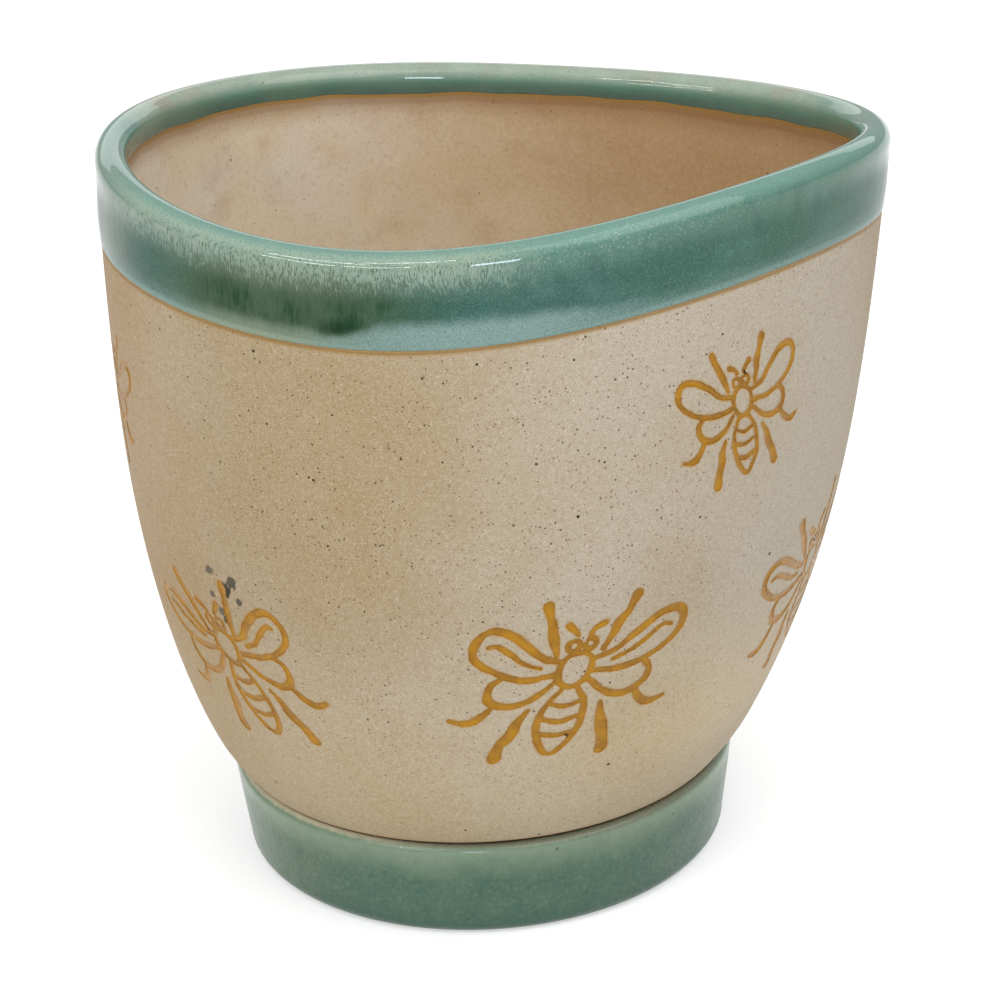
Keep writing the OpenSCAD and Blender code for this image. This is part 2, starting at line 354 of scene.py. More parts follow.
def stamp_distance(wall, a, s):
    """Distance on the wall to the nearest stamped line, in metres, and FAR where none is near."""
    gap = np.full(len(a), FAR)
    height = wall.skin(a, s)[:, 2]
    wide, high = 26, 34 * MM          # how far a stamp reaches, in degrees and up the wall
    for k, (at, up, size, tall, turn, slant) in enumerate(BEES):
        share = (up * MM - wall.z.edge) / (wall.crest(np.full(1, at)) - wall.z.edge)
        rise = wall.skin(np.full(1, at), share + .05) - wall.skin(np.full(1, at), share - .05)
        slope = np.linalg.norm(rise) / rise[0, 2]
        dx = (a - at + 180) % 360 - 180
        near = np.flatnonzero((np.abs(dx) < wide) & (np.abs(height - up * MM) < high))
        here = np.full(len(near), at)
        across = wall.skin(here + 1, s[near]) - wall.skin(here - 1, s[near])
        y = (height[near] - up * MM) * slope
        x = dx[near] * np.linalg.norm(across[:, :2], axis=1) / 2 - slant * y
        cos, sin = cosine(turn), sine(turn)
        x, y = (cos * x + sin * y) / size, (cos * y - sin * x) / (size * tall)
        drawn = np.stack([x, y, 0 * x], -1)
        wobble = .1 * MM * ripple(drawn, 4 * MM, 60 + k) + .08 * MM * ripple(drawn, MM, 80 + k)
        lines = bee_lines(40 + k, tall == 1)
        gap[near] = np.minimum(gap[near], size * (line_distance(x, y, lines) + wobble))
    return gap


def cut_at_zero(values, columns, tris, snap):
    """Cuts the triangles where values pass 0; what is within snap of 0 counts as 0.

    Columns are the corners' other values, a row for each corner.
    """
    values = np.where(np.abs(values) < snap, 0, values)
    table = list(np.column_stack([columns, values]))
    side = list(np.sign(values))
    made = {}

    def between(i, j):
        key = (min(i, j), max(i, j))
        if key not in made:
            low, high = table[key[0]], table[key[1]]
            t = low[-1] / (low[-1] - high[-1])
            made[key] = len(table)
            table.append(np.append(((1 - t) * low + t * high)[:-1], 0))
            side.append(0)
        return made[key]

    def split(*corners):
        for k in range(3):
            p, q, r = corners[k:] + corners[:k]
            if side[p] * side[q] >= 0 > side[q] * side[r]:
                m = between(q, r)
                return split(p, q, m) + split(p, m, r)
        return [corners]

    signs = np.sign(values)[tris]
    plain = signs.max(axis=1) * signs.min(axis=1) >= 0
    pieces = [piece for corners in tris[~plain].tolist() for piece in split(*corners)]
    tris = np.vstack([tris[plain], np.array(pieces, int).reshape(-1, 3)])
    table = np.array(table)
    return table[:, -1], table[:, :-1], tris


# Making meshes

@contextmanager
def editing(piece, select="SELECT"):
    """Edit mode on one piece, with all or none of it selected, or as it was for None."""
    bpy.ops.object.select_all(action="DESELECT")
    piece.select_set(True)
    bpy.context.view_layer.objects.active = piece
    bpy.ops.object.mode_set(mode="EDIT")
    if select:
        bpy.ops.mesh.select_all(action=select)
    yield
    bpy.ops.object.mode_set(mode="OBJECT")


def start(name, primitive, **settings):
    """A new primitive, and nothing else selected."""
    bpy.ops.object.select_all(action="DESELECT")
    primitive(**settings)
    piece = bpy.context.object
    piece.name = piece.data.name = name
    return piece


def blank_sheet(name, columns, rows):
    """A flat grid whose x runs from 0 to columns and y from 0 to rows, one cell a unit."""
    sheet = start(name, bpy.ops.mesh.primitive_grid_add, size=1, x_subdivisions=columns,
                  y_subdivisions=rows)
    if len(sheet.data.vertices) != (columns + 1) * (rows + 1):
        raise RuntimeError("the grid has an unexpected number of corners")
    with editing(sheet):
        bpy.ops.transform.translate(value=(.5, .5, 0))
        bpy.ops.transform.resize(value=(columns, rows, 1), center_override=(0, 0, 0))
    return sheet


def read(parts, name, kind=np.float32):
    """Three values of every corner or face, as the rows of an array."""
    values = np.empty(len(parts) * 3, kind)
    parts.foreach_get(name, values)
    return values.reshape(-1, 3).astype(float if kind is np.float32 else int)


def place_corners(mesh, points):
    mesh.vertices.foreach_set("co", np.ascontiguousarray(points, np.float32).ravel())
    mesh.update()


def keep(mesh, label, values):
    """Keeps one number a corner on the mesh, for its material."""
    layer = mesh.attributes.new(label, "FLOAT", "POINT")
    layer.data.foreach_set("value", np.ascontiguousarray(values, np.float32))


def subdivide_where(sheet, chosen, cuts):
    """Subdivides the faces that chosen(x and y of the centres) picks."""
    mesh = sheet.data
    picked = chosen(*read(mesh.polygons, "center").T[:2])
    for parts, flags in ((mesh.vertices, False), (mesh.edges, False), (mesh.polygons, picked)):
        parts.foreach_set("select", np.resize(flags, len(parts)))
    bpy.context.tool_settings.mesh_select_mode = (False, False, True)
    with editing(sheet, None):
        bpy.ops.mesh.subdivide(number_cuts=cuts, ngon=False, quadcorner="INNERVERT")


def triangles_of(sheet):
    with editing(sheet):
        bpy.ops.mesh.quads_convert_to_tris(quad_method="SHORTEST_DIAGONAL")
    return read(sheet.data.polygons, "vertices", np.int32)


def add_object(name, data, place=(0, 0, 0), turn=(0, 0, 0)):
    item = bpy.data.objects.new(name, data)
    bpy.context.collection.objects.link(item)
    item.location, item.rotation_euler = place, turn
    return item


def new_mesh(name, points, faces, attributes):
    """A mesh of these points and faces, with one value a corner for each named attribute."""
    used, inverse = np.unique(faces, return_inverse=True)
    mesh = bpy.data.meshes.new(name)
    mesh.from_pydata(points[used].tolist(), [], inverse.reshape(faces.shape).tolist())
    for label, values in attributes.items():
        keep(mesh, label, values[used])
    return mesh


def close_seams(piece):
    """Merges the corners that meet, and shades the piece smooth but for its sharp edges."""
    with editing(piece):
        bpy.ops.mesh.remove_doubles(threshold=MERGE)
        bpy.ops.mesh.select_all(action="DESELECT")
    bpy.ops.object.shade_smooth_by_angle(angle=math.radians(SHARP))


def by_station(stations, a, row, kinds):
    """Points for each angle and row, where a row is a station of one kind with its value."""
    points = np.zeros((len(a), 3))
    labels = np.array([kind for kind, _ in stations])
    nearest = np.clip(np.rint(row).astype(int), 0, len(stations) - 1)
    for kind, make in kinds.items():
        mine = np.flatnonzero(labels[nearest] == kind)
        if len(mine):
            own = np.flatnonzero(labels == kind)
            held = [stations[k][1] for k in own]
            if isinstance(held[0], tuple):
                value = np.array(held)[nearest[mine] - own[0]]
            else:
                value = np.interp(row[mine], own, held)
            points[mine] = make(a[mine], value)
    return points


def rounded(height, radius):
    """How far a rounded edge falls back at this height above the edge."""
    t = np.clip(1 - height / radius, 0, 1)
    return radius * (1 - np.sqrt(1 - t * t))


class ClayShape:
    """The whole surface of the pot: up the outer wall, over the lip, down inside and out below.

    A row below wall_rows has a rise on the outer wall; each later row has a station, which is a
    kind and its value. The last row is the first again.
    """

    SEAM = 6             # angle of the first column and of the last
    GLAZE_AT = .85       # rise that stands for the glaze's lower edge all round
    FINE = .075          # share of the wall's height, below the lining, that has fine rows
    RING = 8.32 * MM     # step of the throwing rings

    def __init__(self, sizes):
        self.z, self.wall = sizes, Wall(sizes)
        tall = sizes.height - sizes.edge
        glaze = self.GLAZE_AT * tall
        low = [0, .06, .16, .3, .5, 1.1, 2.4] + list(np.arange(5.6, 136, 3.55))
        near = [-2.0, -1.3, -.95, -.72, -.5, -.28, -.08, .1, .3, .7, 1.6, 4]
        up = [h * MM for h in low] + [glaze + h * MM for h in near]
        up += list(np.linspace(glaze + 8 * MM, tall, 5))
        self.rises = [h / tall for h in up]
        self.wall_rows = len(up)
        lining = [0, .5, .85, .97, 1, 1.02, 1.06, 1.11, 1.16, 1.2, 1.24, 1.3, 1.4, 1.55, 1.75]
        lining += [2 + k / 20 for k in range(1, 21)]
        self.stations = [("lip", turn) for turn in range(15, 166, 15)]
        self.stations += [("inner", v) for v in lining]
        self.stations += [("bowl", k / 10) for k in range(9, 0, -1)]
        self.stations += [("ring", circle) for circle in self.circles()]
        self.rows = self.wall_rows + len(self.stations)
        self.columns = sizes.columns

    def circles(self):
        """Radius and height of the circles over the floor, down the drain and round the foot."""
        z, top, under = self.z, self.wall.floor_z, self.wall.recess_z
        soft, fine = .6 * MM, .15 * MM
        ring_in = z.foot - z.foot_ring

        def corner(radius, height, out, up):
            """A rounded corner, from the level face to the upright one."""
            return [(radius + out * soft, height), (radius + out * fine, height + up * fine),
                    (radius, height + up * soft)]

        return [(z.floor_radius, top), (.03, top), (.02, top), (z.drain + 3 * MM, top),
                *corner(z.drain, top, 1, -1), (z.drain, (top + under) / 2),
                *reversed(corner(z.drain, under, 1, 1)), (.02, under), (.034, under),
                (ring_in - 1.6 * MM, under), (ring_in - .4 * MM, under - .4 * MM),
                (ring_in, under - 1.6 * MM), (ring_in, .013),
                *reversed(corner(ring_in, z.seat, 1, 1)), (z.foot - z.foot_ring / 2, z.seat),
                *corner(z.foot, z.seat, -1, 1), (z.foot + .7 * MM, .017),
                (z.foot + 1.4 * MM, z.edge - soft), (z.foot + 1.9 * MM, z.edge),
                (.062, z.edge), (.0648, z.edge)]

    def angle(self, x):
        """Degrees round the pot, for a place along the columns."""
        return self.SEAM + 360 * x / self.columns

    def wall_share(self, a, row):
        """Share of the wall's height for a row of the outer wall."""
        rise = np.interp(row, range(self.wall_rows), self.rises)
        w = self.wall
        glaze, top = w.share(a, w.drop(a)), w.share(a, w.lip)
        return np.where(rise < self.GLAZE_AT, glaze * rise / self.GLAZE_AT,
                        glaze + (top - glaze) * (rise - self.GLAZE_AT) / (1 - self.GLAZE_AT))

    def stamp_gap(self, x, row):
        """Distance to the nearest stamped line, FAR off the outer wall."""
        gap = np.full(len(x), FAR)
        on = np.flatnonzero(row <= self.wall_rows - 1)
        a = self.angle(x[on])
        gap[on] = stamp_distance(self.wall, a, self.wall_share(a, row[on]))
        return gap

    def glaze_gap(self, a, s):
        """Height of the glaze's lower edge above a point of the wall."""
        w = self.wall
        return (w.crest(a) - w.drop(a)) - (self.z.edge + (w.crest(a) - self.z.edge) * s)

    def on_wall(self, a, row, pressed):
        w = self.wall
        s = self.wall_share(a, row)
        below = self.glaze_gap(a, s)
        height = (w.crest(a) - self.z.edge) * s
        groove = .2 * MM * np.exp(-((below - .55 * MM) / (.25 * MM)) ** 2)
        depth = CLAY_UNDER * smooth(-below, 0, .4 * MM) + groove + rounded(height, .45 * MM)
        swell = .12 * MM * ripple(w.skin(a, s), .05, 3) * smooth(height, .004, .02)
        return w.inset(a, s, depth + pressed + swell)

    def on_inner(self, a, v):
        """The inner wall: v is 0 at the lip, 1 at the lining's edge and 3 at the bowl."""
        w = self.wall
        top, lined, foot = w.share(a, w.lip), w.share(a, w.lined(a)), w.bowl_share(a)
        low = lined - self.FINE
        s = np.where(v < 1, top + (lined - top) * v,
                     np.where(v < 2, lined + (low - lined) * (v - 1), low + (foot - low) * (v - 2)))
        below = (lined - s) * (w.crest(a) - self.z.edge)
        depth = self.z.wall - CLAY_UNDER * smooth(-below, 0, .3 * MM)
        ring = .16 * MM * np.exp(-((below - 2.7 * MM) / (.7 * MM)) ** 2)
        throwing = smooth(below, .012, .03) * (1 - smooth(v, 2.6, 3.0))
        rings = .1 * MM * np.sin(2 * math.pi * below / self.RING) * throwing
        return w.inset(a, s, depth - ring + rings)

    def place(self, x, row, pressed):
        """The points, with the wall pressed in by this much."""
        a, w = self.angle(x), self.wall
        kinds = {"lip": lambda a, turn: w.over_lip(a, turn, CLAY_UNDER + 0 * a),
                 "inner": self.on_inner, "bowl": w.in_bowl,
                 "ring": lambda a, circle: w.ring(a, *circle.T)}
        points = by_station(self.stations, a, row - self.wall_rows, kinds)
        last = row > self.rows - .5
        wall = np.flatnonzero((row <= self.wall_rows - 1) | last)
        points[wall] = self.on_wall(a[wall], np.where(last, 0, row)[wall], pressed[wall])
        return points


def stamp_press(gap, depth):
    """How deep the surface is pressed at this distance from a line's edge."""
    shoulder = .06 * MM
    outside = shoulder * np.clip(1 - gap / (.55 * MM), 0, 1) ** 2
    t = np.clip(-gap / (.6 * MM), 0, 1)
    return np.where(gap > 0, outside, shoulder + depth * (1 - (1 - t) ** 2))


# Shaders

class Value:
    """A number in a shader: arithmetic on it adds Math nodes."""

    def __init__(self, net, socket):
        self.net, self.socket = net, socket

    def step(self, operation, *terms):
        return self.net.value("ShaderNodeMath", {"operation": operation}, dict(enumerate(terms)))

    def __add__(self, other):
        return self.step("ADD", self, other)

    def __sub__(self, other):
        return self.step("SUBTRACT", self, other)

    def __rsub__(self, other):
        return self.step("SUBTRACT", other, self)

    def __mul__(self, other):
        return self.step("MULTIPLY", self, other)

    __radd__, __rmul__ = __add__, __mul__

    def most(self, other):
        return self.step("MAXIMUM", self, other)

    def sway(self, amount):
        """A pattern from 0 to 1, as a swing about 0."""
        return (self - .5) * amount

    def ease(self, low, high):
        """0 at low, 1 at high, soft between; low may be the larger."""
        return self.net.value("ShaderNodeMapRange", {"interpolation_type": "SMOOTHSTEP"}, {
            "Value": self, "From Min": low, "From Max": high})


class Net:
    """The nodes of a material, the floor or the world."""

    def __init__(self, owner):
        owner.use_nodes = True
        self.owner, self.tree = owner, owner.node_tree
        self.tree.nodes.clear()

    def locate(self):
        """Adds the place on the object, which the patterns of a material start from."""
        self.place = self.add("ShaderNodeTexCoord").outputs["Object"]
        parts = self.add("ShaderNodeSeparateXYZ", None, {0: self.place})
        self.x, self.y, self.z = (Value(self, out) for out in parts.outputs)
        return self

    def add(self, kind, settings=None, sockets=None):
        """Adds a node: its settings first, then the values or links of its sockets."""
        node = self.tree.nodes.new(kind)
        for key, value in (settings or {}).items():
            setattr(node, key, value)
        for key, value in (sockets or {}).items():
            socket, value = node.inputs[key], getattr(value, "socket", value)
            if isinstance(value, bpy.types.NodeSocket):
                self.tree.links.new(value, socket)
            else:
                socket.default_value = (*value[:3], 1) if socket.type == "RGBA" else value
        return node

    def value(self, kind, settings=None, sockets=None, output=0):
        """Adds a node that gives a number."""
        return Value(self, self.add(kind, settings, sockets).outputs[output])

    def attribute(self, name):
        return self.value("ShaderNodeAttribute", {"attribute_name": name}, None, "Fac")

    def scaled(self, size, shift, stretch):
        """Object coordinates in units of size, stretched along each axis."""
        node = self.add("ShaderNodeVectorMath", {"operation": "MULTIPLY_ADD"}, {
            0: self.place, 1: tuple(1 / (size * s) for s in stretch), 2: shift})
        return node.outputs[0]

    def noise(self, size, detail, shift=(0, 0, 0), stretch=(1, 1, 1), rough=.5):
        """Clouds of this size, from 0 to 1."""
        return self.value("ShaderNodeTexNoise", None, {
            "Vector": self.scaled(size, shift, stretch), "Scale": 1.0, "Detail": detail,
            "Roughness": rough})

    def cells(self, size, shift=(0, 0, 0), stretch=(1, 1, 1)):
        """Distance to the nearest of a scatter of points, and a random colour for that point."""
        node = self.add("ShaderNodeTexVoronoi", None, {
            "Vector": self.scaled(size, shift, stretch), "Scale": 1.0})
        return Value(self, node.outputs["Distance"]), node.outputs["Color"]

    def near(self, angle, height, radius, reach):
        """1 at a place, given in degrees and millimetres, fading to 0 at a reach in metres."""
        a, radius = math.radians(angle), radius * MM
        place = (radius * math.cos(a), radius * math.sin(a), height * MM)
        return self.value("ShaderNodeVectorMath", {"operation": "DISTANCE"}, {
            0: self.place, 1: place}, "Value").ease(reach, reach * .15)

    def mix(self, share, first, second):
        node = self.add("ShaderNodeMix", {"data_type": "RGBA"}, {0: share, 6: first, 7: second})
        return node.outputs[2]

    def paint(self, share, *colour):
        """Lays a share of a colour over the base: a socket, a property or 0 to 255 values."""
        self.base = self.mix(share, self.base, screen(*colour) if len(colour) == 3 else colour[0])

    def specks(self, size, largest, share, shift=(0, 0, 0)):
        """A scatter of small dots, up to largest across, in this share of the cells."""
        distance, colour = self.cells(size, shift)
        pick = self.value("ShaderNodeSeparateColor", None, {0: colour})
        radius = pick.ease(share, 0) * (largest / size)
        return (distance - radius).ease(0, -.25 * largest / size)

    def bump(self, height, depth, under=None):
        """The normal over a height pattern of this depth in metres, on top of another normal."""
        sockets = {"Height": height, "Distance": depth, "Strength": 1.0}
        if under is not None:
            sockets["Normal"] = under
        return self.add("ShaderNodeBump", None, sockets).outputs[0]

    def surface(self, **sockets):
        """Ends the material: the shader's sockets by name, with _ for a space."""
        shader = self.add("ShaderNodeBsdfPrincipled", None, {
            key.replace("_", " "): value for key, value in sockets.items()})
        self.add("ShaderNodeOutputMaterial", None, {0: shader.outputs[0]})
        return self.owner


def new_material(name):
    """The nodes of a new material, and the planter's colours."""
    return Net(bpy.data.materials.new(name)).locate(), bpy.context.scene.planter_colours


def clay_material():
    net, c = new_material("speckled_clay")
    inside = net.attribute("inside")
    line_gap = net.attribute("line_gap")
    below = net.attribute("glaze_gap")
    # Warmer clay: flashing in broad clouds and a few patches, stronger low down; painted shade that
    # makes the left side warmer and darker; and warmer at the far right edge.
    cloud = net.noise(.06, 3, (3, 1, 7), rough=.6)
    warmth_and_shade = cloud.sway(1.1) + .42 - net.x * 4.6 + net.z.ease(.075, .035) * .2
    warmth_and_shade = warmth_and_shade + net.x.ease(.084, .108) * .6
    for *place, amount in ((257.5, 107, 86, .012, .1), (264, 100, 86, .01, .1),
                           (251, 128, 86, .009, .2), (250, 140, 86, .06, .3),
                           (303, 99, 90, .022, .3), (300, 60, 85, .03, .45)):
        warmth_and_shade = warmth_and_shade + net.near(*place) * amount
    net.base = net.mix(warmth_and_shade.ease(-.1, 1.1), c.clay, c.clay_warm_and_shade)
    # Painted sheen: the lower wall is paler, most to the right.
    painted_sheen = net.x.ease(0, .06) * net.z.ease(.036, .06)
    net.paint(net.z.ease(.1, .045) * (painted_sheen * .32 + .2), 222, 200, 160)
    # Painted shade: the far left of the wall is warmer and darker.
    net.paint(net.x.ease(-.055, -.085) * .2, 190, 140, 80)
    # Inside: painted bounce light and shade, warmer and darker up and to the right, and pale low
    # down.
    warmth_and_shade = (cloud.sway(.8) + net.x * 9 + net.z * 10 - 1.08).ease(-.2, 1.3)
    lining = net.mix(warmth_and_shade, c.clay_inside, screen(172, 140, 99))
    lining = net.mix(net.z.ease(.14, .088) * .9, lining, screen(250, 243, 231))
    net.paint(inside, lining)
    # Blots and haze inside, fine mottling all over, and the iron in several sizes.
    grain = net.noise(.00029, 2, (1, 2, 3), rough=.7)
    flour = net.noise(.0012, 2, (9, 2, 3), rough=.6)
    calm = 1 - inside * .62
    blots = net.noise(.01, 3, (8, 3, 3), rough=.6).ease(.52, .74) * inside
    net.paint(blots * .22, 154, 112, 70)
    haze = net.noise(.022, 2, (1, 8, 8)).ease(.42, .62) * net.x.ease(.03, -.05)
    net.paint(haze * inside * .35, 216, 208, 202)
    net.paint(grain.ease(.5, .28) * .56 * calm, 128, 108, 90)
    net.paint(grain.ease(.5, .72) * .47 * calm, 214, 205, 194)
    net.paint(flour.ease(.52, .3) * .16, 146, 116, 90)
    net.paint(flour.ease(.5, .72) * .12, 202, 190, 182)
    dense = (net.near(266, 128, 87, .1) + net.noise(.03, 1) * .5).ease(.2, .9)
    dense = dense.most(below.ease(.014, .002) * .8)
    rust = net.specks(.0013, .0003, .8, (5, 2, 9)) * (dense * .5 + .25)
    small = net.specks(.0012, .00032, .8) * (dense * .45 + .35)
    medium = net.specks(.0031, .0004, .55, (4, 1, 2)) * (dense * .4 + .5)
    large = net.specks(.006, .00052, .55, (2, 8, 5))
    dots = (small * net.noise(.006, 2, (5, 5, 1)).ease(.35, .6)).most(medium).most(large)
    net.paint(rust * (1 - inside * .45), 124, 84, 58)
    net.paint(dots * (1 - inside * .45), c.speck)
    # Iron drawn out of the glazes: lines at their edges, a stain inside, and round the stamps;
    # inside, painted shade also darkens the groove a few millimetres below the lining.
    stain_and_groove_shade = (below + cloud.sway(.004)).ease(.0085, .0002) * inside
    # Painted shade along the groove below the lining, mixed into the iron stain.
    ring = below.ease(.0044, .003) * below.ease(.0012, .0025)
    stain_and_groove_shade = stain_and_groove_shade.most(ring * cloud * .7 * inside)
    net.paint(stain_and_groove_shade * .72, 132, 94, 56)
    line = below.ease(.0014, .0004) * below.ease(-.001, 0)
    net.paint(line * .8, c.iron)
    net.paint(line_gap.ease(.0005, 0) * .75, 172, 126, 46)
    # A toasted line along the pot's lower edge, fainter below it.
    low = bpy.context.scene.planter_sizes.edge
    toasted = net.z.ease(low + .0008, low + .0001)
    toasted = toasted * (net.z.ease(low - .002, low - .0004) * .75 + .25)
    net.paint(toasted * .7 * (1 - inside), 186, 128, 76)
    # Ash flecks beside one of the bees, fused to the wall.
    for at, high, wide, shade in (
            (222.0, 102.8, 1.5, 92), (226.9, 101.2, 1.6, 70), (225.1, 98.4, 1.8, 30),
            (221.7, 96.2, .9, 92), (228.0, 96.3, 1.0, 76), (223.4, 92.0, 1.2, 92),
            (224.3, 89.8, 1.4, 66)):
        fleck = net.near(at, high, 85.8, wide * MM * 1.8)
        fleck = (fleck + net.noise(.0012, 3, stretch=(1, 1, 1.6)).sway(1.5)).ease(.35, .7)
        net.paint(fleck * .9, shade, shade * .93, shade * .78)
    gloss = .62 - dots * .25 - line * .2 - grain.ease(.4, .8) * .08
    height = grain * .6 + net.noise(.0003, 2, (7, 7, 7)) * .4 - dots * .5
    swell = net.bump(net.noise(.012, 2, (2, 9, 4)), .0004)
    return net.surface(Base_Color=net.base, Roughness=gloss, Specular_IOR_Level=.12,
                       Normal=net.bump(height, .00012, swell))


def amber_material():
    net, c = new_material("amber_glaze")
    gap = net.attribute("line_gap")
    cloud = net.noise(.004, 3, (1, 5, 2))
    deep = cloud.ease(.35, .65) * .6 + gap.ease(-.0004, -.0001) * .4
    net.base = net.mix(deep, c.amber, c.amber_deep)
    net.paint(net.noise(.0009, 2).ease(.6, .75) * .3, 184, 136, 40)
    return net.surface(Base_Color=net.base, Roughness=.34 - cloud.ease(.4, .7) * .1,
                       Specular_IOR_Level=.2, Coat_Weight=.12, Coat_Roughness=.08,
                       Normal=net.bump(net.noise(.0011, 2), .00012))


def rim_glaze_material():
    net, c = new_material("rim_glaze")
    fall = net.attribute("fall")      # 0 at the crest, 1 at the edge outside and -1 inside
    # Where the glaze has run: most on the left of the front, and in places on the far side.
    left = net.near(241, 176, 87, .08).ease(.05, .5)
    far = net.noise(.05, 1, (4, 4, 4)).ease(.45, .62) * net.y.ease(-.03, .02)
    run = left.most(far * .8)
    dark = net.near(245, 173, 86, .047).ease(0, .8).most(far * .7)
    droop = net.near(251.3, 172.8, 84.9, .01)
    drip = net.near(250.9, 172.6, 84.9, .0072)
    front = net.near(273, 172, 87, .05)
    broad = net.noise(.028, 3, (2, 4, 1))
    small = net.noise(.005, 3, (6, 2, 2), (1, 1, 2))
    grain = net.noise(.0004, 2, (7, 5, 5), rough=.6)
    wave = broad.sway(.16) + small.sway(.1)
    at = fall + wave
    net.base = net.mix(at.ease(.12, .5), screen(70, 112, 98), c.rim_green)
    haze = net.noise(.02, 3, (3, 8, 2), (1, 1, .5))
    net.paint(haze.ease(.48, .72) * .3, 88, 130, 120)
    net.paint(small.ease(.5, .75) * .45, 30, 70, 64)
    net.paint(grain.ease(.45, .8) * .4, 118, 148, 136)
    net.paint(net.x.ease(.02, .085) * .14, 100, 134, 104)
    # The thin crest, paler on the far side with a painted reflection of the sky, and the lining
    # inside.
    lining = (fall + wave * .4).ease(-.12, -.55)
    deep = net.mix(fall.ease(-.4, -.85), screen(92, 132, 114), screen(74, 96, 86))
    deep = net.mix((broad + small * .3).ease(.5, .9) * .5, deep, screen(104, 122, 100))
    net.paint(lining * .85, deep)
    crest = (fall + wave * .5).ease(.2, 0) * (fall + wave * .4).ease(-.62, -.1)
    # The far side is paler with a painted reflection of the sky.
    thin = net.mix((net.y + broad.sway(.1)).ease(-.01, .05), c.rim_crest, c.rim_cream_sheen)
    buff = net.noise(.016, 3, (9, 1, 1)).ease(.48, .66) * net.y.ease(0, .04)
    thin = net.mix(buff * .6, thin, screen(162, 150, 128))
    net.paint(crest * (.65 + small * .5), thin)
    # Toasted and greyish patches on the left, and the pool of dark glaze with its drip.
    brink = fall + small.sway(.12) + broad.sway(.1) + front * .13 - droop * .09
    toasted = net.near(240, 174, 86, .046) * at.ease(.08, .35)
    net.paint(toasted * .6, 88, 98, 60)
    net.paint(net.near(194, 178, 89, .032) * .5, 146, 146, 138)
    pool = at.ease(.2, .6) * brink.ease(.87, .74)
    veil = net.noise(.0009, 2, (2, 6, 6), (1, 1, 6), rough=.6)
    clump = net.noise(.013, 3, (5, 9, 2), rough=.6)
    pool = pool * (dark * .95 + .05) * (veil.ease(.62, .3) * .35 + .65)
    pool = pool * (clump.ease(.38, .6) * .4 + .6)
    net.paint(pool, c.rim_deep)
    drop = drip * brink.ease(.56, .76) * brink.ease(.88, .8)
    net.paint(drop * .9, 2, 42, 20)
    # Pale crystals that run down from the crest, as fine threads and, further right, as dots.
    streams = net.noise(.0026, 2, (8, 1, 3), (1, 1, 3.5))
    threads = net.noise(.00031, 2, (3, 3, 3), (1, 1, 5), rough=.6)
    reach = (at + streams.sway(.25)).ease(.56, 0) * fall.ease(-.04, .06)
    pale = (threads + reach * .25).ease(.55, .72) * reach.ease(.02, .3)
    pale = pale * (run * .9 + .03)
    net.paint(pale * (reach * .55 + .2), c.rim_streak)
    slit = threads.ease(.48, .36) * run * at.ease(.6, .3) * fall.ease(.04, .16)
    net.paint(slit * .75, 78, 88, 66)
    dots, _ = net.cells(.0007, (1, 1, 1), (1, 1, 1.5))
    crystal = dots.ease(.38, .1) * at.ease(.38, .1) * fall.ease(-.05, .05)
    crystal = crystal * net.near(288, 180, 92, .08)
    net.paint(crystal * .6, c.rim_streak)
    # The milky band at the bottom, and the iron where the glaze thins out.
    milky = front * .64 + net.near(241, 170, 86, .04) * .2 + .26
    band = brink.ease(.76, .93) * milky
    band = band.most(fall.ease(.86, .955) * .8) * (1 - drop)
    milk = net.mix(grain, screen(96, 124, 116), c.rim_band)
    cream = net.near(236, 170, 87, .028)
    net.paint(band, net.mix(cream * .7, milk, screen(144, 152, 122)))
    net.paint(grain.ease(.55, .2) * .3, 34, 66, 58)
    edge = fall.ease(.978, .996).most((fall + small.sway(.06)).ease(-.95, -1.0))
    net.paint(edge * .9, c.iron)
    iron = net.specks(.0042, .0003, .3).most(net.specks(.011, .0006, .5, (3, 2, 6)))
    net.paint(iron * .8, 48, 38, 24)
    gloss = .14 + pale * .1 + edge * .25
    height = net.noise(.0022, 2, (4, 4, 4)) * .35 + pale * .25
    swell = net.bump(net.noise(.01, 1, (1, 7, 3)), .0004)
    coat = 1 - fall.ease(.22, .5) * .38 - pool * .25 - drop * .3
    return net.surface(Base_Color=net.base, Roughness=gloss, Specular_IOR_Level=0,
                       Coat_Weight=coat, Coat_Roughness=.03,
                       Normal=net.bump(height, .000025, swell))


